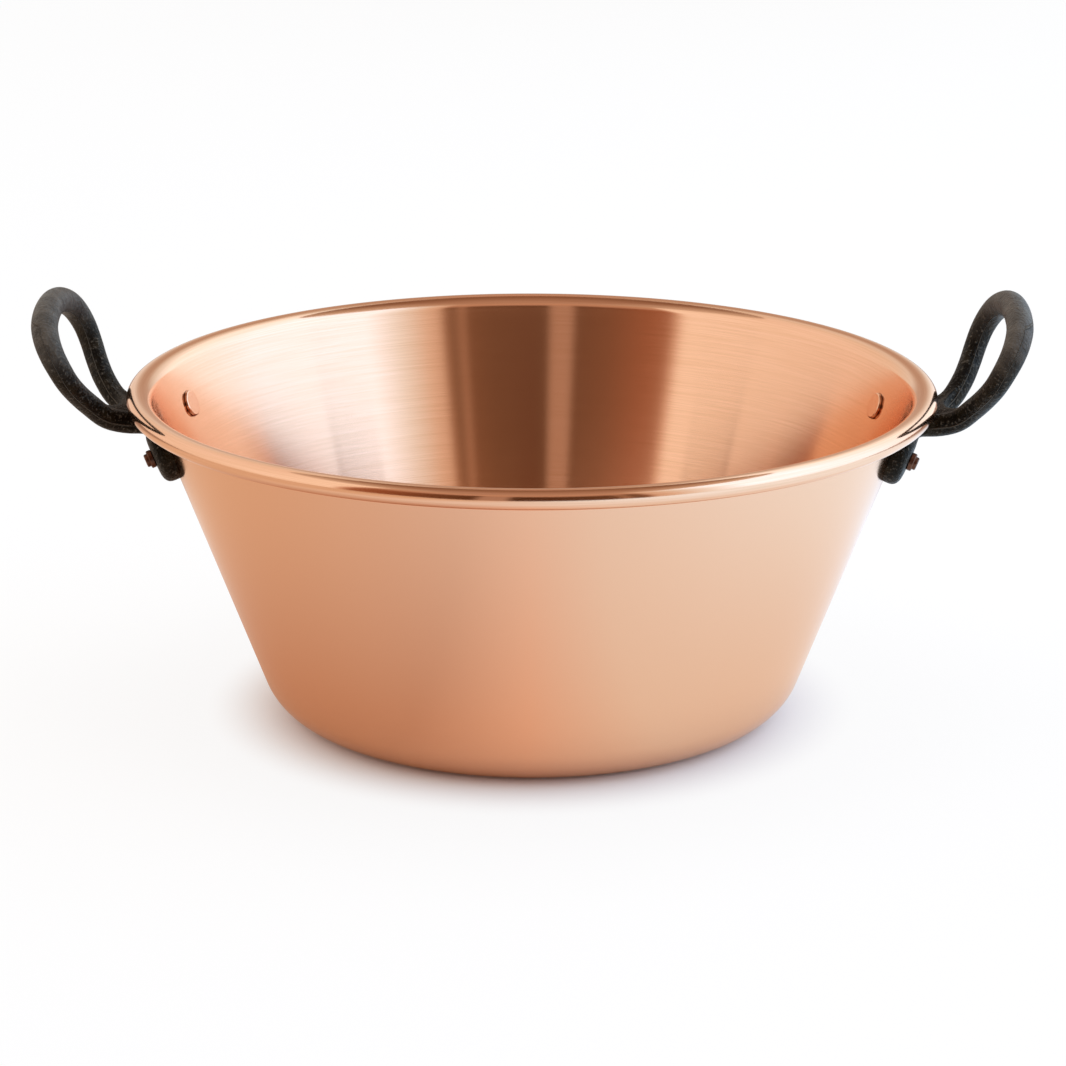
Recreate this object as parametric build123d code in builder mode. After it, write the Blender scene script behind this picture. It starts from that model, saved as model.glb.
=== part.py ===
from build123d import *
import os
from math import cos, degrees, radians, sin, tan

# A round copper jam pan with sloping walls, a rolled rim and two cast-iron loop handles, each
# fixed by two copper rivets whose outer ends are hammered down over copper washers.
# Millimetres. +Z is up, the origin is the middle of the underside, and the handles lie along X.

# Driving sizes of the pan
rim_diameter = 360.0
pan_height = 150.0
sheet = 1.2
wall_lean = 20.6
corner_radius = 25.5
bead_diameter = 8.7
bead_turn = 265.0

# Above the wall a rounded lip turns the sheet level, where the bead begins
lip_radius = 7.6

# Driving sizes of the rivets and their washers; the spacing is measured along the wall
rivet_drop = 22.0
rivet_spacing = 82.8
shank_diameter = 5.0
head_diameter = 12.0
head_thickness = 1.5
head_rounding = 0.6
tail_diameter = 5.8
tail_thickness = 1.5
tail_rounding = 0.6
washer_diameter = 8.0
washer_thickness = 2.3
washer_rounding = 0.4

# Driving sizes of a handle casting; drops are below the rim and reaches are from the wall
boss_diameter = 25.4
boss_thickness = 7.2
boss_rounding = 4.0
arm_end_thickness = 6.4
arm_waist_thickness = 9.0
arm_waist = 13.0
neck_drop = 16.5
neck_root_depth = 4.8
neck_root_width = 40.0
neck_inset = 0.4
crotch_reach = 18.8
crotch_radius = 22.4
leg_diameter = 10.0
bar_diameter = 12.0
loop_width = 84.0
loop_start_reach = 7.2
loop_reach = 41.2
loop_rise = 49.4

# Clearances and overruns
seat_clearance = 0.05
shank_clearance = 0.1
overrun = 4.0

# Worked out from the driving sizes
rim_radius = rim_diameter / 2
wall_heading = 90.0 - wall_lean
corner_bend = corner_radius - sheet / 2
lip_bend = lip_radius - sheet / 2
bead_bend = (bead_diameter - sheet) / 2


def bend_run(radius, before, after):
    """How far outward a bend carries the sheet, from one heading to another."""
    return radius * abs(sin(radians(before)) - sin(radians(after)))


def bend_rise(radius, before, after):
    """How far upward a bend carries the sheet, from one heading to another."""
    return radius * abs(cos(radians(before)) - cos(radians(after)))


# The straight wall is as long as the height asks, and the flat of the base as wide as the rim asks
bends = [
    (corner_bend, 0.0, wall_heading),
    (lip_bend, wall_heading, 0.0),
]
bends_run = sum(bend_run(*bend) for bend in bends)
bends_rise = sum(bend_rise(*bend) for bend in bends)
wall_length = (pan_height - sheet - bends_rise) / cos(radians(wall_lean))
wall_run = wall_length * sin(radians(wall_lean))
base_radius = rim_radius - sheet / 2 - bead_bend - bends_run - wall_run


def sheet_side(side):
    """Draw one side of the sheet from the axis to the bead's tip; side is the offset from mid-sheet."""
    base = Line((0, sheet / 2 + side), (base_radius, sheet / 2 + side))
    corner = JernArc(base @ 1, base % 1, corner_bend - side, wall_heading)
    wall = Line(corner @ 1, corner @ 1 + (corner % 1) * wall_length)
    lip = JernArc(wall @ 1, wall % 1, lip_bend + side, -wall_heading)
    bead = JernArc(lip @ 1, lip % 1, bead_bend + side, -bead_turn)
    return base, bead


# Where the straight wall's outer face would meet the ground
wall_foot_radius = base_radius + corner_radius * tan(radians(wall_heading / 2))


def wall_radius(height):
    """Outer radius of the straight wall at a height."""
    return wall_foot_radius + height * tan(radians(wall_lean))


# Where the rivets and the root of each handle's neck lie on that wall
rivet_height = pan_height - rivet_drop
rivet_turn = degrees(rivet_spacing / 2 / wall_radius(rivet_height))
neck_height = pan_height - neck_drop
neck_radius = wall_radius(neck_height)
rivet_turns = {
    "right_front": -rivet_turn,
    "right_back": rivet_turn,
    "left_front": 180 + rivet_turn,
    "left_back": 180 - rivet_turn,
}


def wall_plane(turn, height):
    """A plane lying on the wall's outer face, its Z pointing straight out of the metal."""
    out = Vector(cos(radians(turn)), sin(radians(turn)), 0)
    along = Vector(-sin(radians(turn)), cos(radians(turn)), 0)
    normal = out * cos(radians(wall_lean)) - Vector(0, 0, sin(radians(wall_lean)))
    spot = out * wall_radius(height) + Vector(0, 0, height)
    return Plane(origin=spot, x_dir=along, z_dir=normal)


def side_plane(face):
    """The plane that cuts a rivet along its axis: X is across the rivet and Y is out of the wall."""
    return Plane(origin=face.origin, x_dir=face.x_dir, z_dir=face.x_dir.cross(face.z_dir))


# Pan body: one copper sheet, spun to shape, its edge rolled outward into a hollow bead
with BuildPart() as pan_body:
    with BuildSketch(Plane.XZ):
        with BuildLine():
            inner_base, inner_bead = sheet_side(sheet / 2)
            outer_base, outer_bead = sheet_side(-sheet / 2)
            Line(inner_base @ 0, outer_base @ 0)
            Line(inner_bead @ 1, outer_bead @ 1)
        make_face()
    revolve(axis=Axis.Z)
    for turn in rivet_turns.values():
        with BuildSketch(wall_plane(turn, rivet_height).offset(-sheet - overrun)):
            Circle(shank_diameter / 2 + shank_clearance)
        extrude(amount=sheet + 2 * overrun, mode=Mode.SUBTRACT)

os.makedirs("parts", exist_ok=True)
pan_body.part.label = "pan_body"
export_step(pan_body.part, "parts/pan_body.step")

# The room that the sheet takes up, with a working gap, for whatever is seated on the wall
with BuildPart() as wall_room:
    with BuildSketch(Plane.XZ):
        with BuildLine():
            side = -sheet / 2 - seat_clearance
            base = Line((0, sheet / 2 + side), (base_radius, sheet / 2 + side))
            corner = JernArc(base @ 1, base % 1, corner_bend - side, wall_heading)
            wall = Line(corner @ 1, corner @ 1 + (corner % 1) * wall_length)
            top = Line(wall @ 1, (0, (wall @ 1).Y))
            Line(top @ 1, base @ 0)
        make_face()
    revolve(axis=Axis.Z)

# The room inside the wall, which shapes the seat of each rivet's head
with BuildPart() as bowl_room:
    with BuildSketch(Plane.XZ):
        with BuildLine():
            side = sheet / 2 + seat_clearance
            base = Line((0, sheet / 2 + side), (base_radius, sheet / 2 + side))
            corner = JernArc(base @ 1, base % 1, corner_bend - side, wall_heading)
            wall = Line(corner @ 1, corner @ 1 + (corner % 1) * wall_length)
            top = Line(wall @ 1, (0, (wall @ 1).Y))
            Line(top @ 1, base @ 0)
        make_face()
    revolve(axis=Axis.Z)

# Points of the loop's centreline from the neck to the middle of the grip, as shares of
# half its width, its reach and its rise, with the share of the way from leg to grip thickness;
# before them the leg starts inside the arms, at the neck's root
loop_shares = [
    (0.310, 0.000, 0.000, 0.00),
    (0.335, 0.190, 0.010, 0.00),
    (0.430, 0.375, 0.074, 0.00),
    (0.580, 0.520, 0.215, 0.00),
    (0.760, 0.620, 0.352, 0.00),
    (0.925, 0.700, 0.492, 0.10),
    (1.000, 0.775, 0.634, 0.30),
    (0.980, 0.852, 0.762, 0.55),
    (0.857, 0.918, 0.865, 0.80),
    (0.630, 0.970, 0.941, 0.95),
    (0.333, 0.993, 0.986, 1.00),
    (0.000, 1.000, 1.000, 1.00),
]
neck_root = Vector(neck_radius - neck_root_depth, (leg_diameter - neck_root_width) / 2, neck_height)
half_loop = [(neck_root, leg_diameter / 2)]
for across, reach, rise, thick in loop_shares:
    spot = Vector(
        neck_radius + loop_start_reach + reach * loop_reach,
        -across * loop_width / 2,
        neck_height + rise * loop_rise,
    )
    half_loop.append((spot, (leg_diameter + thick * (bar_diameter - leg_diameter)) / 2))
other_half = [(Vector(spot.X, -spot.Y, spot.Z), radius) for spot, radius in reversed(half_loop[:-1])]
loop_stations = half_loop + other_half

# Loop: one round bar, lofted through a circle at each station of its centreline
with BuildLine() as loop_line:
    loop_path = Spline(*[spot for spot, radius in loop_stations])
with BuildPart() as loop:
    for spot, radius in loop_stations:
        share = loop_path.param_at_point(spot)
        with BuildSketch(Plane(origin=spot, x_dir=(0, 0, 1), z_dir=loop_path % share)):
            Circle(radius)
    loft()

# Neck: the web that joins the two legs, a little thinner than they are, up to the loop's crotch
neck_spots = [Vector(spot.X, 0, spot.Z) for spot, radius in half_loop[:5]]
with BuildLine() as neck_line:
    neck_path = Spline(*neck_spots)
with BuildPart() as neck:
    for middle, (spot, radius) in zip(neck_spots, half_loop):
        share = neck_path.param_at_point(middle)
        with BuildSketch(Plane(origin=middle, x_dir=(0, 1, 0), z_dir=neck_path % share)):
            SlotCenterToCenter(2 * abs(spot.Y), leg_diameter - 2 * neck_inset)
    loft()
    with BuildSketch(Plane.XY):
        with Locations((neck_radius + crotch_reach + crotch_radius, 0)):
            Circle(crotch_radius)
    extrude(amount=pan_height + loop_rise, mode=Mode.SUBTRACT)

# Stations along the arms that hug the wall: turn as a share of the way round to a rivet, and
# height of the section as a share of the way from the waist to the boss
arm_shares = [
    (-1.00, 0.62),
    (-0.66, 0.36),
    (-0.33, 0.10),
    (0.00, 0.00),
    (0.33, 0.10),
    (0.66, 0.36),
    (1.00, 0.62),
]

# Arms: one bar, D-shaped in section once the wall is cut away, from boss to boss
with BuildPart() as arms:
    for turn_share, height_share in arm_shares:
        lift = (neck_height - rivet_height) * (1 - abs(turn_share))
        thickened = (arm_waist_thickness - arm_end_thickness) * (1 - abs(turn_share))
        half_height = (arm_waist + height_share * (boss_diameter - arm_waist)) / 2
        face = wall_plane(turn_share * rivet_turn, rivet_height + lift)
        with BuildSketch(Plane(origin=face.origin, x_dir=face.z_dir, z_dir=face.x_dir)):
            Ellipse(arm_end_thickness + thickened, half_height)
    loft()

# Handle: one iron casting of arms, bosses, neck and loop, seated on the wall and drilled
with BuildPart() as handle:
    add(arms.part)
    for turn in (-rivet_turn, rivet_turn):
        face = wall_plane(turn, rivet_height)
        with BuildSketch(side_plane(face)):
            with BuildLine():
                side = Polyline(
                    (0, -overrun),
                    (boss_diameter / 2, -overrun),
                    (boss_diameter / 2, boss_thickness - boss_rounding),
                )
                edge = JernArc(side @ 1, side % 1, boss_rounding, 90)
                Polyline(edge @ 1, (0, boss_thickness), side @ 0)
            make_face()
        revolve(axis=Axis(face.origin, face.z_dir))
    add(neck.part)
    add(loop.part)
    add(wall_room.part, mode=Mode.SUBTRACT)
    for turn in (-rivet_turn, rivet_turn):
        face = wall_plane(turn, rivet_height)
        with BuildSketch(face.offset(-overrun)):
            Circle(shank_diameter / 2 + shank_clearance)
        extrude(amount=boss_thickness + 2 * overrun, mode=Mode.SUBTRACT)

for side_name, turn in {"right": 0, "left": 180}.items():
    casting = handle.part.rotate(Axis.Z, turn)
    casting.label = f"handle_{side_name}"
    export_step(casting, f"parts/{casting.label}.step")

# Rivets and washers: two to a handle, named by side and by front or back
for place, turn in rivet_turns.items():
    face = wall_plane(turn, rivet_height)
    axis = Axis(face.origin, face.z_dir)
    washer_top = boss_thickness + washer_thickness

    # Rivet: a flat head inside the pan, hammered down to the curve of the wall
    with BuildPart() as rivet:
        with BuildSketch(side_plane(face)):
            with BuildLine():
                rim_side = head_diameter / 2
                top = -sheet - head_thickness
                lead = Line((0, top), (rim_side - head_rounding, top))
                edge = JernArc(lead @ 1, lead % 1, head_rounding, 90)
                Polyline(edge @ 1, (rim_side, 0), (0, 0), lead @ 0)
            make_face()
        revolve(axis=axis)
        add(bowl_room.part, mode=Mode.INTERSECT)
        # Shank through the wall, the boss and the washer, closed by a hammered tail
        with BuildSketch(side_plane(face)):
            with BuildLine():
                shank = Polyline(
                    (0, -sheet - head_thickness / 2),
                    (shank_diameter / 2, -sheet - head_thickness / 2),
                    (shank_diameter / 2, washer_top),
                    (tail_diameter / 2, washer_top),
                    (tail_diameter / 2, washer_top + tail_thickness - tail_rounding),
                )
                edge = JernArc(shank @ 1, shank % 1, tail_rounding, 90)
                Polyline(edge @ 1, (0, washer_top + tail_thickness), shank @ 0)
            make_face()
        revolve(axis=axis)
    rivet.part.label = f"rivet_{place}"
    export_step(rivet.part, f"parts/{rivet.part.label}.step")

    # Washer: a copper ring under the hammered tail
    with BuildPart() as washer:
        with BuildSketch(face.offset(boss_thickness)):
            Circle(washer_diameter / 2)
            Circle(shank_diameter / 2 + shank_clearance, mode=Mode.SUBTRACT)
        extrude(amount=washer_thickness)
        rims = washer.edges().filter_by(GeomType.CIRCLE).group_by(SortBy.RADIUS)[-1]
        chamfer(rims, washer_rounding)
    washer.part.label = f"washer_{place}"
    export_step(washer.part, f"parts/{washer.part.label}.step")

print(f"base flat radius {base_radius:.2f}, wall length {wall_length:.2f}")
print(f"wall foot radius {wall_foot_radius:.2f}, wall radius at the rivets {wall_radius(rivet_height):.2f}")
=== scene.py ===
from math import cos, pi, radians, sin, tan

import bmesh
import bpy
from mathutils import Matrix, Vector


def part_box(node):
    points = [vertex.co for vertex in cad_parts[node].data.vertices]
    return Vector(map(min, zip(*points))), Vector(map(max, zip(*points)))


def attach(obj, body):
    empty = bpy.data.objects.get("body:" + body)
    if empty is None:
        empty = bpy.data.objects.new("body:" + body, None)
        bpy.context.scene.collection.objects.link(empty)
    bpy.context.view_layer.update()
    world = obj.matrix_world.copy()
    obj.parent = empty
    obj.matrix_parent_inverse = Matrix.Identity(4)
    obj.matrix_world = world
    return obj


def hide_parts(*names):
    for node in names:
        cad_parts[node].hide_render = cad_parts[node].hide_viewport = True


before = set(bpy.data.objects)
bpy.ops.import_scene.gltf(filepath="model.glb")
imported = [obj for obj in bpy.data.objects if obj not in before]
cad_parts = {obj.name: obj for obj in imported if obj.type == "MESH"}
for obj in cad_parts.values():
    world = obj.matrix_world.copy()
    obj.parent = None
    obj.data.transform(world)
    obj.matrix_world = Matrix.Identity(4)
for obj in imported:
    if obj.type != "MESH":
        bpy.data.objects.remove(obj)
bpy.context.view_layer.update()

# Pan body: one round sheet of copper, spun to shape on a lathe, with a flat base, a rounded corner, a
# straight sloping wall and a rounded lip that rolls outward into a hollow bead. Wall and base are polished
# with the fine lines of the lathe left in, and the lip and the bead are a mirror.
MM = 0.001
rim_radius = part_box("pan_body")[1].x
pan_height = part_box("pan_body")[1].z
sheet = 1.2 * MM
wall_heading = radians(69.4)
corner_radius = 24.9 * MM
lip_radius = 7 * MM
bead_radius = 3.75 * MM
bead_turn = radians(265)
round_steps = 320
merge_reach = 0.001 * MM
sharp_edge = radians(50)
lathe_lines_per_metre = 2600
lathe_line_drift = 4
lathe_line_depth = 0.05 * MM
lathe_line_strength = 0.06
lathe_line_contrast = (0.3, 0.7)
mirror_fade = 1 * MM
outside_roughness = 0.18
inside_roughness = 0.16
mirror_roughness = 0.10
copper_in_lines = (0.765, 0.445, 0.275, 1)
copper_between_lines = (0.835, 0.505, 0.335, 1)
copper_edge_tint = (1.0, 0.92, 0.86, 1)


def node(tree, kind, inputs=None, **settings):
    """Add a node to a tree, with its settings, and with each input set to a value or linked to a socket."""
    made = tree.nodes.new(kind)
    for key, value in settings.items():
        setattr(made, key, value)
    for key, value in (inputs or {}).items():
        if isinstance(value, bpy.types.NodeSocket):
            tree.links.new(value, made.inputs[key])
        else:
            made.inputs[key].default_value = value
    return made


def new_tree(name, sizes):
    """Start a Geometry Nodes tree with named inputs; gives the tree and its input and output nodes."""
    tree = bpy.data.node_groups.new(name, "GeometryNodeTree")
    tree.interface.new_socket("Geometry", in_out="INPUT", socket_type="NodeSocketGeometry")
    for label, kind in {**sizes, "Material": "Material"}.items():
        tree.interface.new_socket(label, in_out="INPUT", socket_type="NodeSocket" + kind)
    tree.interface.new_socket("Geometry", in_out="OUTPUT", socket_type="NodeSocketGeometry")
    return tree, node(tree, "NodeGroupInput"), node(tree, "NodeGroupOutput")


def end_tree(tree, result, start, end):
    """End a Geometry Nodes tree with real geometry in the tree's own material."""
    real = node(tree, "GeometryNodeRealizeInstances", {"Geometry": result})
    dressed = node(tree, "GeometryNodeSetMaterial", {
        "Geometry": real.outputs["Geometry"], "Material": start.outputs["Material"]})
    tree.links.new(dressed.outputs["Geometry"], end.inputs["Geometry"])
    return tree


def new_piece(name, spots, edges=(), faces=(), numbers=None):
    """Make an object from points, edges and faces, with a number at each point for each named attribute."""
    mesh = bpy.data.meshes.new(name)
    mesh.from_pydata([Vector(spot) for spot in spots], list(edges), list(faces))
    for label, values in (numbers or {}).items():
        mesh.attributes.new(label, "FLOAT", "POINT").data.foreach_set("value", values)
    piece = bpy.data.objects.new(name, mesh)
    bpy.context.scene.collection.objects.link(piece)
    return piece


def settle(piece):
    """Make what a piece's modifiers give its plain mesh, and take the modifiers off."""
    depsgraph = bpy.context.evaluated_depsgraph_get()
    depsgraph.update()
    mesh = bpy.data.meshes.new_from_object(piece.evaluated_get(depsgraph), depsgraph=depsgraph)
    piece.modifiers.clear()
    piece.data = mesh
    return piece


def grow(piece, tree, values):
    """Run a tree on a piece with the named inputs, and keep the result as the piece's plain mesh."""
    modifier = piece.modifiers.new(tree.name, "NODES")
    modifier.node_group = tree
    for item in tree.interface.items_tree:
        if item.in_out == "INPUT" and item.name in values:
            modifier[item.identifier] = values[item.name]
    return settle(piece)


def new_material(name, finish):
    """Start a material, with the numbers and colours that are the same all over its surface."""
    material = bpy.data.materials.new(name)
    material.use_nodes = True
    shader = material.node_tree.nodes["Principled BSDF"]
    for key, value in finish.items():
        shader.inputs[key].default_value = value
    return material, material.node_tree, shader


def reckon(tree, operation, *values):
    """Work out a number; gives the result."""
    return node(tree, "ShaderNodeMath", dict(enumerate(values)), operation=operation).outputs[0]


def reckon_vector(tree, operation, *values):
    """Work out a vector, or the number that a length or a distance is; gives the result."""
    made = node(tree, "ShaderNodeVectorMath", dict(enumerate(values)), operation=operation)
    return made.outputs["Value" if operation in ("LENGTH", "DISTANCE") else "Vector"]


def share_of(tree, value, start, end, most=1.0, **settings):
    """How far a value has come from a start to an end, from 0 to the most."""
    return node(tree, "ShaderNodeMapRange", {
        "Value": value, "From Min": start, "From Max": end, "To Max": most}, **settings).outputs[0]


def between(tree, share, first, last):
    """The number that lies a share of the way from the first to the last."""
    return node(tree, "ShaderNodeMix", {0: share, 2: first, 3: last}).outputs[0]


def blend(tree, share, first, last, **settings):
    """The colour that lies a share of the way from the first to the last."""
    return node(tree, "ShaderNodeMix", {0: share, 6: first, 7: last}, data_type="RGBA", **settings).outputs[2]


def noise(tree, place, scale, detail):
    """A cloudy number at each place."""
    return node(tree, "ShaderNodeTexNoise", {
        "Vector": place, "Scale": scale, "Detail": detail}).outputs["Fac"]


def roughen(tree, shader, height, strength, depth):
    """Give a surface the fine bumps of a height."""
    bump = node(tree, "ShaderNodeBump", {"Height": height, "Strength": strength, "Distance": depth})
    tree.links.new(bump.outputs["Normal"], shader.inputs["Normal"])


# The middle line of the sheet from the axis to the bead's tip, as length, turn and steps of each stretch
bends = [
    (corner_radius, 0, wall_heading),
    (lip_radius, wall_heading, 0),
]
bends_run = sum(radius * abs(sin(before) - sin(after)) for radius, before, after in bends)
bends_rise = sum(radius * abs(cos(before) - cos(after)) for radius, before, after in bends)
wall_length = (pan_height - sheet - bends_rise) / sin(wall_heading)
base_radius = rim_radius - sheet / 2 - bead_radius - bends_run - wall_length * cos(wall_heading)
stretches = [
    (base_radius, 0, 12),
    (corner_radius * wall_heading, wall_heading, 16),
    (wall_length, 0, 24),
    (lip_radius * wall_heading, -wall_heading, 20),
    (bead_radius * bead_turn, -bead_turn, 40),
]
up_to_lip = stretches[:3]
lip_start = sum(length for length, turn, steps in up_to_lip)


def sheet_line(stretches, rise):
    """Follow the stretches; gives at each step the spot, the unit normal to its left and the way along."""
    spot, heading, along = Vector((0, rise)), 0, 0
    line = [(spot, Vector((0, 1)), 0)]
    for length, turn, steps in stretches:
        step, bend = length / steps, turn / steps
        chord = step * (sin(bend / 2) / (bend / 2) if bend else 1)
        for count in range(steps):
            middle = heading + bend / 2
            spot = spot + chord * Vector((cos(middle), sin(middle)))
            heading += bend
            along += step
            line.append((spot, Vector((-sin(heading), cos(heading))), along))
    return line


def turned_tree():
    """Turn an outline about Z: its X is how far it lies beyond the tree's radius, and its Y its depth."""
    tree, start, end = new_tree("turned_on_the_lathe", {"Radius": "Float", "Steps": "Int"})
    outline = node(tree, "GeometryNodeMeshToCurve", {"Mesh": start.outputs["Geometry"]})
    circle = node(tree, "GeometryNodeCurvePrimitiveCircle", {
        "Radius": start.outputs["Radius"], "Resolution": start.outputs["Steps"]})
    skin = node(tree, "GeometryNodeCurveToMesh", {
        "Curve": circle.outputs["Curve"], "Profile Curve": outline.outputs["Curve"]})
    closed = node(tree, "GeometryNodeMergeByDistance", {
        "Geometry": skin.outputs["Mesh"], "Distance": merge_reach})
    outward = node(tree, "GeometryNodeFlipFaces", {"Mesh": closed.outputs["Geometry"]})
    smooth = node(tree, "GeometryNodeSetShadeSmooth", {"Geometry": outward.outputs["Mesh"]})
    return end_tree(tree, smooth.outputs["Geometry"], start, end)


lathe = turned_tree()


def turn_on_lathe(name, outline, material, numbers=None):
    """Make a closed turned piece from an outline of radii and heights that starts and ends on the axis."""
    spots = [(radius - rim_radius, -height, 0) for radius, height in outline]
    edges = [(count, count + 1) for count in range(len(spots) - 1)]
    piece = new_piece(name, spots, edges, numbers=numbers)
    return grow(piece, lathe, {"Radius": rim_radius, "Steps": round_steps, "Material": material})


copper, copper_tree, copper_shader = new_material("spun_copper", {
    "Metallic": 1.0, "Anisotropic": 1.0, "Anisotropic Rotation": 0.25, "Specular Tint": copper_edge_tint})
place = node(copper_tree, "ShaderNodeTexCoord").outputs["Object"]
round_way = reckon_vector(copper_tree, "CROSS_PRODUCT", (0, 0, 1), place)
copper_tree.links.new(round_way, copper_shader.inputs["Tangent"])
way = node(copper_tree, "ShaderNodeSeparateXYZ", {
    "Vector": reckon_vector(copper_tree, "NORMALIZE", round_way)})
along = node(copper_tree, "ShaderNodeAttribute", attribute_name="along").outputs["Fac"]
inner = node(copper_tree, "ShaderNodeAttribute", attribute_name="inner").outputs["Fac"]
lines_place = node(copper_tree, "ShaderNodeCombineXYZ", {
    "X": reckon(copper_tree, "MULTIPLY", way.outputs["X"], lathe_line_drift),
    "Y": reckon(copper_tree, "MULTIPLY", way.outputs["Y"], lathe_line_drift),
    "Z": reckon(copper_tree, "MULTIPLY", along, lathe_lines_per_metre),
}).outputs["Vector"]
lines = share_of(copper_tree, noise(copper_tree, lines_place, 1.0, 3.0), *lathe_line_contrast)
lines = between(copper_tree, inner, 0.5, lines)
roughen(copper_tree, copper_shader, lines, lathe_line_strength, lathe_line_depth)
on_lip = share_of(copper_tree, along, lip_start - mirror_fade, lip_start + mirror_fade)
satin = between(copper_tree, inner, outside_roughness, inside_roughness)
rough = between(copper_tree, on_lip, satin, mirror_roughness)
copper_tree.links.new(rough, copper_shader.inputs["Roughness"])
copper_tint = blend(copper_tree, lines, copper_in_lines, copper_between_lines)
copper_tree.links.new(copper_tint, copper_shader.inputs["Base Color"])

line = sheet_line(stretches, sheet / 2)
outside = [(spot - normal * sheet / 2, along) for spot, normal, along in line]
inside = [(spot + normal * sheet / 2, along) for spot, normal, along in reversed(line)]
pan = turn_on_lathe("copper_pan_body", [spot for spot, along in outside + inside], copper, {
    "along": [along for spot, along in outside + inside],
    "inner": [0.0] * len(outside) + [1.0] * len(inside),
})
pan.data.set_sharp_from_angle(angle=sharp_edge)
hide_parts("pan_body")
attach(pan, "root")

# Handles: two iron castings, alike, with arms that hug the wall and end in round bosses, and a short neck
# that splits into a loop of round bar. The iron is blackened, rough from its sand mould, and worn smooth on
# the grip, whose top is lighter with wear and with a painted sheen. Each casting is held by two rivets.
wall_lean = pi / 2 - wall_heading
wall_foot = base_radius + (corner_radius + sheet / 2) * tan(wall_heading / 2)
seat = 0.05 * MM
rivet_drop = 22 * MM
rivet_spacing = 82.8 * MM
rivet_height = pan_height - rivet_drop
rivet_radius = wall_foot + rivet_height * tan(wall_lean)
rivet_turn = rivet_spacing / 2 / rivet_radius
neck_drop = 16.5 * MM
neck_height = pan_height - neck_drop
neck_radius = wall_foot + neck_height * tan(wall_lean)
neck_root_depth = 4.8 * MM
neck_root_width = 40 * MM
neck_inset = 0.4 * MM
web_end_inset = 2.6 * MM
web_squareness = 3.0
crotch_reach = 18.8 * MM
crotch_radius = 22.4 * MM
boss_radius = 12.7 * MM
boss_thickness = 7.2 * MM
arm_end_thickness = 6.4 * MM
arm_waist_thickness = 9 * MM
arm_waist = 13 * MM
leg_radius = 5 * MM
bar_radius = 6 * MM
loop_half_width = 42 * MM
loop_start_reach = 7.2 * MM
loop_reach = 41.2 * MM
loop_rise = 49.4 * MM
bar_steps = 120
bar_sides = 32
crotch_sides = 96
boss_sides = 48
casting_grid = 0.7 * MM
corner_blend = 0.5
corner_blend_rounds = 10

# The right half of the loop, as shares of its half width, reach, rise and gain in thickness
loop_shares = [
    (0.310, 0.000, 0.000, 0.00),
    (0.335, 0.190, 0.010, 0.00),
    (0.430, 0.375, 0.074, 0.00),
    (0.580, 0.520, 0.215, 0.00),
    (0.760, 0.620, 0.352, 0.00),
    (0.925, 0.700, 0.492, 0.10),
    (1.000, 0.775, 0.634, 0.30),
    (0.980, 0.852, 0.762, 0.55),
    (0.857, 0.918, 0.865, 0.80),
    (0.630, 0.970, 0.941, 0.95),
    (0.333, 0.993, 0.986, 1.00),
    (0.000, 1.000, 1.000, 1.00),
]
web_points = 5

# The arms, as shares of the turn to a rivet and of the widening from waist to boss, and a boss's outline, as
# shares of its thickness and its radius
arm_shares = [(-1, 0.62), (-0.66, 0.36), (-0.33, 0.10), (0, 0), (0.33, 0.10), (0.66, 0.36), (1, 0.62)]
boss_shares = [
    (-0.60, 1.00), (0.20, 1.00), (0.45, 1.00), (0.68, 0.965), (0.84, 0.89), (0.95, 0.76), (1.00, 0.60)]


def wall_spot(turn, height):
    """A spot on the wall's outer face, with the directions round the pan, up the wall and out of it."""
    out = Vector((cos(turn), sin(turn), 0))
    across = Vector((-sin(turn), cos(turn), 0))
    normal = out * cos(wall_lean) - Vector((0, 0, sin(wall_lean)))
    spot = out * (wall_foot + height * tan(wall_lean)) + Vector((0, 0, height))
    return spot, across, normal.cross(across), normal


def skin(name, rings):
    """Make a closed piece from rings of as many points each, with both ends closed."""
    count = len(rings[0])
    spots = [spot for ring in rings for spot in ring]
    faces = [tuple(reversed(range(count))), tuple(range(len(spots) - count, len(spots)))]
    for first in range(0, len(spots) - count, count):
        for step in range(count):
            after = (step + 1) % count
            faces.append((first + step, first + after, first + count + after, first + count + step))
    return new_piece(name, spots, faces=faces)


def ring(middle, side, up, half_width, half_height, squareness=2.0, sides=bar_sides):
    """A ring round a middle: an ellipse at a squareness of 2, and fuller towards its corners above that."""
    spots = []
    for step in range(sides):
        turn = 2 * pi * step / sides
        x, y = cos(turn), sin(turn)
        x = abs(x) ** (2 / squareness) * (1 if x > 0 else -1)
        y = abs(y) ** (2 / squareness) * (1 if y > 0 else -1)
        spots.append(middle + side * (half_width * x) + up * (half_height * y))
    return spots


def bar_tree():
    """Lay a round bar along a line of points, as thick at each as its thickness attribute."""
    tree, start, end = new_tree("bar_along_a_line", {"Steps": "Int", "Sides": "Int"})
    path = node(tree, "GeometryNodeMeshToCurve", {"Mesh": start.outputs["Geometry"]})
    smooth = node(
        tree, "GeometryNodeCurveSplineType", {"Curve": path.outputs["Curve"]}, spline_type="CATMULL_ROM")
    fine = node(tree, "GeometryNodeResampleCurve", {
        "Curve": smooth.outputs["Curve"], "Count": start.outputs["Steps"]})
    circle = node(tree, "GeometryNodeCurvePrimitiveCircle", {
        "Radius": 1.0, "Resolution": start.outputs["Sides"]})
    thick = node(tree, "GeometryNodeInputNamedAttribute", {"Name": "thickness"}, data_type="FLOAT")
    bar = node(tree, "GeometryNodeCurveToMesh", {
        "Curve": fine.outputs["Curve"], "Profile Curve": circle.outputs["Curve"],
        "Scale": thick.outputs["Attribute"], "Fill Caps": True})
    return end_tree(tree, bar.outputs["Mesh"], start, end)


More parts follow.
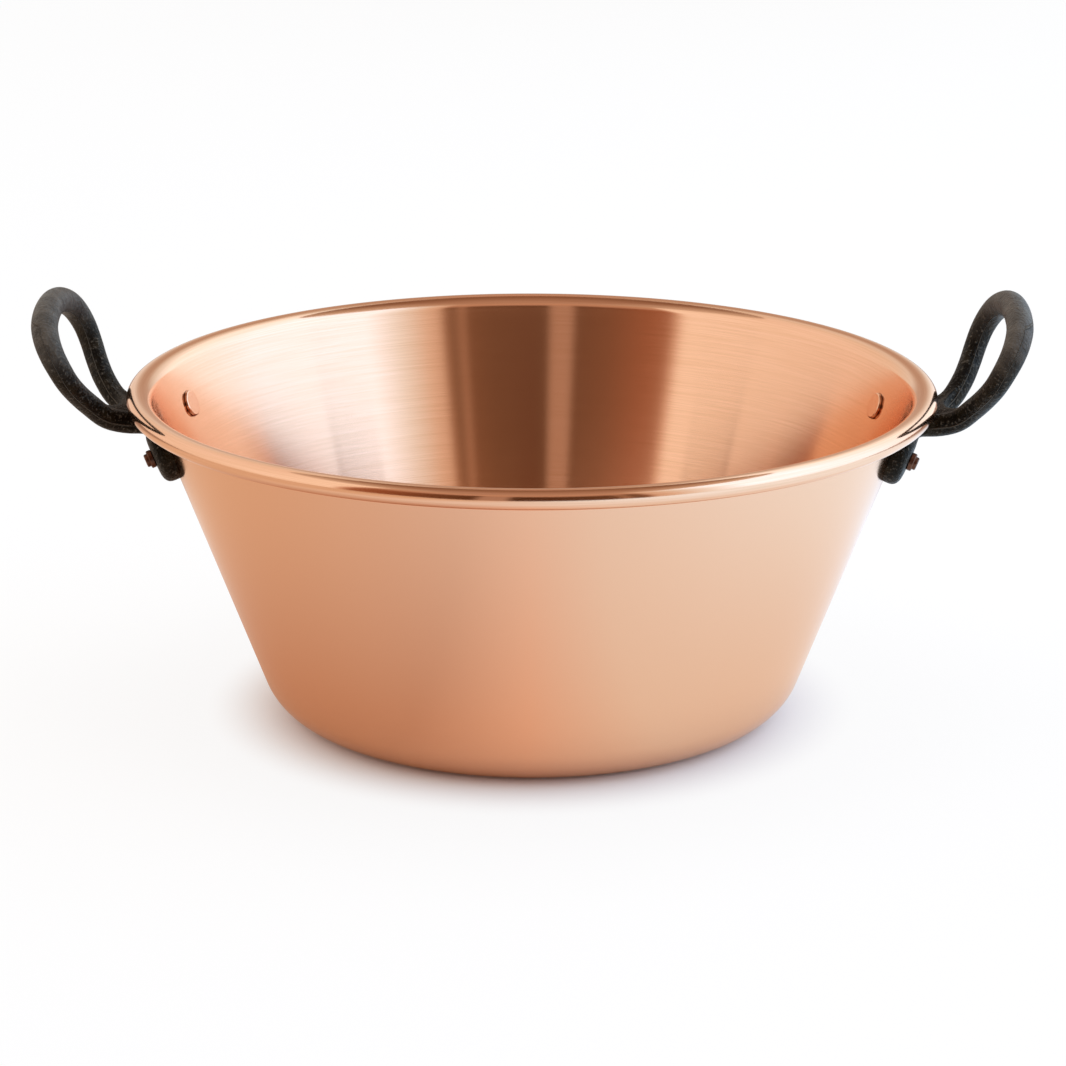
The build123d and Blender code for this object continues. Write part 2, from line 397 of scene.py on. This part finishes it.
def combine(piece, other, operation):
    """Join or cut two closed pieces, and delete the second."""
    modifier = piece.modifiers.new(operation, "BOOLEAN")
    modifier.operation = operation
    modifier.solver = "MANIFOLD"
    modifier.object = other
    settle(piece)
    bpy.data.objects.remove(other)
    return piece


def face_out(piece):
    """Turn a closed piece's faces outward."""
    work = bmesh.new()
    work.from_mesh(piece.data)
    bmesh.ops.recalc_face_normals(work, faces=work.faces)
    work.to_mesh(piece.data)
    work.free()
    return piece


blacking = (0.0016, 0.0014, 0.0009, 1)
thin_blacking = (0.015, 0.0105, 0.0045, 1)
bare_speck = (0.085, 0.074, 0.058, 1)
# The grip's grey is partly wear and partly a painted sheen of light on the loop's top
worn_grip_and_sheen = (0.125, 0.112, 0.095, 1)
parting_iron = (0.075, 0.064, 0.050, 1)
iron_edge_tint = (1.0, 0.82, 0.62, 1)
grip_wear_and_sheen_start = pan_height + 8 * MM
grip_wear_and_sheen_end = pan_height + 28 * MM
parting_half_width = 0.7 * MM
parting_core = 0.15 * MM
parting_start = neck_radius + 9 * MM
parting_full = neck_radius + 12 * MM
iron_relief = 0.9 * MM
grain_scale = 750.0
patch_scale = 150.0
thin_patches = (0.45, 0.70)
specks = (0.56, 0.70)
iron_roughness = (0.25, 0.60)
iron, tree, shader = new_material("cast_iron", {
    "Metallic": 0.0, "Specular IOR Level": 0.13, "Specular Tint": iron_edge_tint})
place = node(tree, "ShaderNodeTexCoord").outputs["Object"]
spot = node(tree, "ShaderNodeSeparateXYZ", {"Vector": place})
grain = noise(tree, place, grain_scale, 5.0)
patch = noise(tree, place, patch_scale, 3.0)
tint = blend(tree, share_of(tree, patch, *thin_patches), blacking, thin_blacking)
tint = blend(tree, share_of(tree, grain, *specks), tint, bare_speck)

# The top of the grip is lighter: partly worn where hands rub it, partly a painted grey sheen of light
wear_and_sheen = share_of(tree, spot.outputs["Z"], grip_wear_and_sheen_start, grip_wear_and_sheen_end, interpolation_type="SMOOTHSTEP")
tint = blend(tree, reckon(tree, "MULTIPLY", wear_and_sheen, patch), tint, worn_grip_and_sheen)

# The mould's parting line runs round the loop's mid-surface, whose height follows from how far out it lies
out_x = reckon(tree, "ABSOLUTE", spot.outputs["X"])
loop_start = neck_radius + loop_start_reach
out_share = share_of(tree, out_x, loop_start, loop_start + loop_reach)
middle = node(tree, "ShaderNodeFloatCurve", {"Value": out_share})
for across, reach, rise, thick in loop_shares[1:-1]:
    middle.mapping.curves[0].points.new(reach, rise)
middle.mapping.update()
middle_height = reckon(tree, "MULTIPLY_ADD", middle.outputs[0], loop_rise, neck_height)
apart = reckon(tree, "ABSOLUTE", reckon(tree, "SUBTRACT", spot.outputs["Z"], middle_height))
parting = share_of(tree, apart, parting_half_width, parting_core, interpolation_type="SMOOTHSTEP")
parting = reckon(tree, "MULTIPLY", parting, share_of(tree, out_x, parting_start, parting_full))
tint = blend(tree, parting, tint, parting_iron)
tree.links.new(tint, shader.inputs["Base Color"])
tree.links.new(between(tree, grain, *iron_roughness), shader.inputs["Roughness"])
relief = reckon(tree, "ADD", reckon(tree, "ADD", grain, patch), parting)
roughen(tree, shader, relief, 1.0, iron_relief)

# The loop's centreline, from the root of one leg round the grip to the root of the other
half_loop = [(neck_radius - neck_root_depth, leg_radius - neck_root_width / 2, neck_height, leg_radius)]
for across, reach, rise, thick in loop_shares:
    half_loop.append((
        neck_radius + loop_start_reach + reach * loop_reach,
        -across * loop_half_width,
        neck_height + rise * loop_rise,
        leg_radius + thick * (bar_radius - leg_radius),
    ))
loop_line = half_loop + [(x, -y, z, thick) for x, y, z, thick in reversed(half_loop[:-1])]
loop = new_piece(
    "loop", [spot[:3] for spot in loop_line], [(count, count + 1) for count in range(len(loop_line) - 1)],
    numbers={"thickness": [spot[3] for spot in loop_line]})
grow(loop, bar_tree(), {"Steps": bar_steps, "Sides": bar_sides, "Material": iron})

# The web between the legs, with the round crotch that is cut out of it
forward = Vector((1, 0, 0))
sideways = Vector((0, 1, 0))
web_rings = []
for count, (x, y, z, thick) in enumerate(half_loop[:web_points]):
    before, after = half_loop[max(count - 1, 0)], half_loop[count + 1]
    lead = Vector((after[0] - before[0], 0, after[2] - before[2])).normalized()
    inset = web_end_inset if count == web_points - 1 else neck_inset
    web_rings.append(ring(
        Vector((x, 0, z)), sideways, lead.cross(sideways),
        abs(y) - inset + neck_inset, leg_radius - inset, squareness=web_squareness))
web = skin("web", web_rings)
crotch_rings = []
for height in (neck_height - 4 * leg_radius, neck_height + loop_rise):
    middle = Vector((neck_radius + crotch_reach + crotch_radius, 0, height))
    crotch_rings.append(ring(middle, forward, sideways, crotch_radius, crotch_radius, sides=crotch_sides))
crotch = skin("crotch", crotch_rings)

# The arms and their two bosses
arm_rings = []
for turn_share, height_share in arm_shares:
    inward = 1 - abs(turn_share)
    spot, across, up, out = wall_spot(
        turn_share * rivet_turn, rivet_height + (neck_height - rivet_height) * inward)
    thickness = arm_end_thickness + (arm_waist_thickness - arm_end_thickness) * inward
    half_height = arm_waist / 2 + height_share * (boss_radius - arm_waist / 2)
    arm_rings.append(ring(spot, out, up, thickness, half_height))
arms = skin("arms", arm_rings)
bosses = []
for side in (-1, 1):
    spot, across, up, out = wall_spot(side * rivet_turn, rivet_height)
    boss_rings = []
    for depth_share, radius_share in boss_shares:
        middle = spot + out * boss_thickness * depth_share
        radius = boss_radius * radius_share
        boss_rings.append(ring(middle, across, up, radius, radius, sides=boss_sides))
    bosses.append(skin("boss", boss_rings))

for piece in (loop, web, crotch, arms, *bosses):
    face_out(piece)
combine(web, crotch, "DIFFERENCE")
casting = combine(loop, web, "UNION")
for piece in (arms, *bosses):
    combine(casting, piece, "UNION")

# One skin over all of it, with the corners blended as in a casting
remesh = casting.modifiers.new("remesh", "REMESH")
remesh.mode = "VOXEL"
remesh.voxel_size = casting_grid
remesh.use_smooth_shade = True
corners = casting.modifiers.new("blended_corners", "SMOOTH")
corners.factor = corner_blend
corners.iterations = corner_blend_rounds
settle(casting)

# Each casting's inner face follows the cone of the wall
former = [spot - normal * (sheet / 2 + seat) for spot, normal, along in sheet_line(up_to_lip, sheet / 2)]
for side, turn in (("right", 0), ("left", pi)):
    handle = new_piece("handle_casting_" + side, [])
    handle.data = casting.data.copy()
    handle.data.transform(Matrix.Rotation(turn, 4, "Z"))
    wall_former = turn_on_lathe("wall_former", former + [(0, former[-1].y)], iron)
    combine(handle, face_out(wall_former), "DIFFERENCE")
    handle.data.materials.clear()
    handle.data.materials.append(iron)
    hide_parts("handle_" + side)
    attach(handle, "root")
bpy.data.objects.remove(casting)

# Rivets and washers: four copper rivets, each with a flat head inside the pan, polished with the wall, and a
# tail hammered down over a copper washer outside, which is left dark with the iron's blacking. A thin dark
# line of painted shade runs round each head where it meets the wall.
head_radius = 6 * MM
outside_fade = 0.5 * MM
polished_copper = (0.78, 0.45, 0.29, 1)
# The dark line round each head is painted shade where head and wall meet
head_joint_shade = (0.16, 0.06, 0.03, 1)
dark_copper = (0.035, 0.014, 0.009, 1)
rubbed_copper = (0.20, 0.095, 0.06, 1)
tail_roughness = 0.38
dent_scale = 420.0
dent_strength = 0.35
dent_depth = 0.3 * MM
joint_shade_on_head = (0.5 * MM, 0.3 * MM)
joint_shade_on_wall = (0.5 * MM, 0.1 * MM)
joint_shade_share_on_head = 0.8
joint_shade_share_on_wall = 0.7
rivet_copper, tree, shader = new_material("rivet_copper", {"Metallic": 1.0})
place = node(tree, "ShaderNodeTexCoord").outputs["Object"]
height = node(tree, "ShaderNodeSeparateXYZ", {"Vector": place}).outputs["Z"]
reach = reckon_vector(tree, "LENGTH", reckon_vector(tree, "MULTIPLY", place, (1, 1, 0)))
wall_here = reckon(tree, "MULTIPLY_ADD", height, tan(wall_lean), wall_foot)
beyond = reckon(tree, "SUBTRACT", reach, wall_here)
outer = share_of(tree, beyond, 0, outside_fade)
dents = noise(tree, place, dent_scale, 2.0)
# The head's side of the line of painted shade where head meets wall
joint_shade_end, joint_shade_core = (-(sheet + lift) / cos(wall_lean) for lift in joint_shade_on_head)
head_shade_share = share_of(tree, beyond, joint_shade_end, joint_shade_core, joint_shade_share_on_head)
inside_tint = blend(tree, head_shade_share, polished_copper, head_joint_shade)
outside_tint = blend(tree, dents, dark_copper, rubbed_copper)
tree.links.new(blend(tree, outer, inside_tint, outside_tint), shader.inputs["Base Color"])
tree.links.new(between(tree, outer, inside_roughness, tail_roughness), shader.inputs["Roughness"])
roughen(tree, shader, dents, dent_strength, dent_depth)
for name, cad_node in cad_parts.items():
    if name.startswith(("rivet", "washer")):
        cad_node.data.materials.clear()
        cad_node.data.materials.append(rivet_copper)

# The wall's side of that line of painted shade; the four heads lie alike in the four quarters of the pan
spot, across, up, out = wall_spot(rivet_turn, rivet_height)
place = node(copper_tree, "ShaderNodeTexCoord").outputs["Object"]
quarter = reckon_vector(copper_tree, "ABSOLUTE", place)
from_head = reckon_vector(copper_tree, "DISTANCE", quarter, spot - out * sheet)
joint_shade_end, joint_shade_core = (head_radius + gap for gap in joint_shade_on_wall)
wall_shade_share = share_of(copper_tree, from_head, joint_shade_end, joint_shade_core, joint_shade_share_on_wall)
copper_tint = blend(copper_tree, wall_shade_share, copper_tint, head_joint_shade)
copper_tree.links.new(copper_tint, copper_shader.inputs["Base Color"])

# Studio: a white table under a plain white backdrop, with a dim ceiling, a tall dark screen on the near side
# and a cool window at the right, all of them glowing paper; the table's glow that metal sees holds painted
# shade and light. Polished copper shows them as the bands of light and dark of a spun bowl.
floor_half = 8
floor_paper = (0.90, 0.90, 0.90, 1)
floor_glow = 0.88
# Painted light and shade in the table's glow that metal sees: shade at the left, behind and at the pan's
# foot, cool light at the right
floor_left_painted_shade = (0.88, 0.68, 0.52, 1)
floor_right_painted_light = (1.14, 1.50, 1.88, 1)
floor_back_painted_shade = (0.34, 0.22, 0.16, 1)
foot_left_painted_shade = (0.58, 0.26, 0.10, 1)
foot_middle_painted_shade = (0.97, 0.60, 0.40, 1)
foot_right_painted_light = (1.0, 0.95, 0.88, 1)
white = (1, 1, 1, 1)
daylight = 0.95
side_span = 0.30
foot_side_span = 0.07
foot_span = (0.10, 0.30)
back_span = (0.25, 0.45)
shadow_span = (0.10, 0.15)


def paper(name, spots, faces):
    """A flat or bent sheet of the studio, with a material that glows evenly; gives the piece and its glow."""
    sheet_piece = new_piece(name, spots, faces=faces)
    material = bpy.data.materials.new(name)
    material.use_nodes = True
    tree = material.node_tree
    glow = node(tree, "ShaderNodeEmission", {"Strength": 1.0})
    tree.links.new(glow.outputs[0], tree.nodes["Material Output"].inputs["Surface"])
    sheet_piece.data.materials.append(material)
    return sheet_piece, material, glow


def square(half, height):
    """The four corners of a level square about the axis."""
    return [(x * half, y * half, height) for x, y in ((-1, -1), (1, -1), (1, 1), (-1, 1))]


def seen_share(tree):
    """1 for what the camera, metal and glass see, and 0 for the light that falls on things."""
    ray = node(tree, "ShaderNodeLightPath")
    seen = reckon(tree, "MAXIMUM", ray.outputs["Is Camera Ray"], ray.outputs["Is Glossy Ray"])
    return reckon(tree, "MAXIMUM", seen, ray.outputs["Is Transmission Ray"])


floor, floor_paint, glow = paper("floor", square(floor_half, 0), [(0, 1, 2, 3)])
tree = floor_paint.node_tree
paint = node(tree, "ShaderNodeBsdfDiffuse", {"Color": floor_paper})
place = node(tree, "ShaderNodeTexCoord").outputs["Object"]
side = node(tree, "ShaderNodeSeparateXYZ", {"Vector": place})
reach = reckon_vector(tree, "LENGTH", place)
# The glow that metal sees is painted: darker and warmer at the left and at the pan's foot, darker behind, a
# pool of cool light at the right
far_light = blend(tree, share_of(tree, side.outputs["X"], -side_span, side_span), floor_left_painted_shade, floor_right_painted_light)
foot_light = node(tree, "ShaderNodeValToRGB", {
    "Fac": share_of(tree, side.outputs["X"], -foot_side_span, foot_side_span)})
foot_light.color_ramp.elements[0].color = foot_left_painted_shade
foot_light.color_ramp.elements.new(0.5).color = foot_middle_painted_shade
foot_light.color_ramp.elements[-1].color = foot_right_painted_light
light = blend(tree, share_of(tree, reach, *foot_span), foot_light.outputs["Color"], far_light)
light = blend(tree, share_of(tree, side.outputs["Y"], *back_span), light, floor_back_painted_shade)
light = blend(tree, node(tree, "ShaderNodeLightPath").outputs["Is Camera Ray"], light, white)
tree.links.new(light, glow.inputs["Color"])
open_floor = share_of(tree, reach, *shadow_span, floor_glow, interpolation_type="SMOOTHSTEP")
glow_share = reckon(tree, "MULTIPLY", seen_share(tree), open_floor)
table = node(tree, "ShaderNodeMixShader", {0: glow_share, 1: paint.outputs[0], 2: glow.outputs[0]})
tree.links.new(table.outputs[0], tree.nodes["Material Output"].inputs["Surface"])
floor_paint.cycles.emission_sampling = "NONE"

world = bpy.data.worlds.new("studio")
bpy.context.scene.world = world
world.use_nodes = True
background = world.node_tree.nodes["Background"]
background.inputs["Color"].default_value = white
level = between(world.node_tree, seen_share(world.node_tree), daylight, 1.0)
world.node_tree.links.new(level, background.inputs["Strength"])

ceiling_half = 4.5
ceiling_height = 3.7
ceiling_near = (0.55, 0.38, 0.30, 1)
ceiling_back = (0.30, 0.17, 0.11, 1)
ceiling_sides = (0.86, 0.76, 0.66, 1)
ceiling_fade = 1.5
ceiling_side_span = (1.0, 2.6)
ceiling, ceiling_paint, glow = paper("ceiling", square(ceiling_half, ceiling_height), [(0, 3, 2, 1)])
tree = ceiling_paint.node_tree
place = node(tree, "ShaderNodeSeparateXYZ", {"Vector": node(tree, "ShaderNodeTexCoord").outputs["Object"]})
backward = share_of(tree, place.outputs["Y"], -ceiling_fade, ceiling_fade)
light = blend(tree, backward, ceiling_near, ceiling_back)
aside = reckon(tree, "ABSOLUTE", place.outputs["X"])
light = blend(tree, share_of(tree, aside, *ceiling_side_span), light, ceiling_sides)
tree.links.new(light, glow.inputs["Color"])
ceiling.visible_camera = False

# The screen goes all round, in bands that start at the back, pass the left, the near side and the window at
# the right, and end at the back; each is given by its turn in degrees from the near side
screen_reach = 2.5
screen_height = 3.6
brightest = 3
screen_bands = [
    (-180, (0.58, 0.44, 0.36)), (-174, (0.64, 0.52, 0.44)), (-166, (0.92, 0.92, 0.90)),
    (-150, (1.00, 0.92, 0.84)), (-120, (1.10, 1.00, 0.94)), (-53, (1.20, 1.14, 1.08)),
    (-51, (0.85, 0.60, 0.48)), (-48, (0.42, 0.18, 0.10)), (-40, (0.34, 0.13, 0.065)),
    (-27, (0.20, 0.085, 0.042)), (-15, (0.13, 0.06, 0.03)), (-13, (0.50, 0.34, 0.27)),
    (-6.5, (0.50, 0.34, 0.27)), (-4.5, (0.11, 0.055, 0.028)), (1, (0.11, 0.048, 0.024)),
    (14, (0.135, 0.066, 0.034)), (22.5, (0.18, 0.09, 0.05)), (25, (0.45, 0.28, 0.20)),
    (28, (0.18, 0.10, 0.06)), (31, (0.32, 0.17, 0.10)), (33, (0.80, 0.62, 0.52)),
    (38, (0.92, 0.80, 0.72)), (43, (1.0, 1.05, 1.10)), (48, (1.1, 1.3, 1.5)),
    (60, (1.45, 2.0, 2.8)), (105, (1.45, 2.0, 2.8)), (125, (1.45, 1.8, 2.3)),
    (150, (1.40, 1.65, 1.9)), (166, (0.92, 0.96, 0.96)), (174, (0.64, 0.52, 0.44)),
    (180, (0.58, 0.44, 0.36)),
]
bare_paper = (0.22, 0.145, 0.11, 1)
cloth_top = 1.9
bare_start = 2.5
first_turn, last_turn = screen_bands[0][0], screen_bands[-1][0]
screen_spots = []
for step in range(first_turn, last_turn + 1):
    for height in (0, screen_height):
        screen_spots.append((screen_reach * sin(radians(step)), -screen_reach * cos(radians(step)), height))
screen, screen_paint, glow = paper("dark_screen", screen_spots, [
    (first, first + 1, first + 3, first + 2) for first in range(0, len(screen_spots) - 2, 2)])
tree = screen_paint.node_tree
place = node(tree, "ShaderNodeSeparateXYZ", {"Vector": node(tree, "ShaderNodeTexCoord").outputs["Object"]})
turn = reckon(tree, "ARCTAN2", place.outputs["X"], reckon(tree, "MULTIPLY", place.outputs["Y"], -1))
ramp = node(tree, "ShaderNodeValToRGB", {
    "Fac": share_of(tree, turn, radians(first_turn), radians(last_turn))})
for count, (band_turn, colour) in enumerate(screen_bands):
    if count in (0, len(screen_bands) - 1):
        stop = ramp.color_ramp.elements[-1 if count else 0]
    else:
        stop = ramp.color_ramp.elements.new((band_turn - first_turn) / (last_turn - first_turn))
    stop.color = (*(part / brightest for part in colour), 1)

# Above the dark cloth the screen is bare paper
bare_share = share_of(tree, place.outputs["Z"], cloth_top, bare_start)
light = blend(tree, bare_share, ramp.outputs["Color"], bare_paper, blend_type="LIGHTEN")
tree.links.new(light, glow.inputs["Color"])
glow.inputs["Strength"].default_value = brightest
screen.visible_camera = False

# A soft box straight above, as bright as a glowing sheet of its radiance
box_side = 2.0
box_height = 2.4
box_radiance = 1.8
soft_box = bpy.data.lights.new("table_light", "AREA")
soft_box.size = box_side
soft_box.energy = box_radiance * pi * box_side * box_side
table_light = bpy.data.objects.new("table_light", soft_box)
table_light.location = (0, 0, box_height)
table_light.visible_camera = False
table_light.visible_glossy = False
bpy.context.scene.collection.objects.link(table_light)

# Camera: on the near side, a little above the rim, looking down into the bowl, with the lens that the pan's
# ellipses in the photograph ask for.
camera_turn = radians(0.53)
camera_dip = radians(16.65)
camera_aside = radians(0.018)
camera_roll = radians(0.089)
camera_reach = 1.5137
camera_height = 0.5319
picture_side = 1066
focal_pixels = 3500
camera = bpy.data.objects.new("camera", bpy.data.cameras.new("camera"))
bpy.context.scene.collection.objects.link(camera)
camera.data.sensor_width = 36
camera.data.lens = camera.data.sensor_width * focal_pixels / picture_side
camera.data.clip_start = 0.05
camera.matrix_world = (
    Matrix.Translation((camera_reach * sin(camera_turn), -camera_reach * cos(camera_turn), camera_height))
    @ Matrix.Rotation(camera_turn - camera_aside, 4, "Z")
    @ Matrix.Rotation(pi / 2 - camera_dip, 4, "X")
    @ Matrix.Rotation(camera_roll, 4, "Z"))
bpy.context.scene.camera = camera
bpy.context.scene.view_settings.view_transform = "Standard"
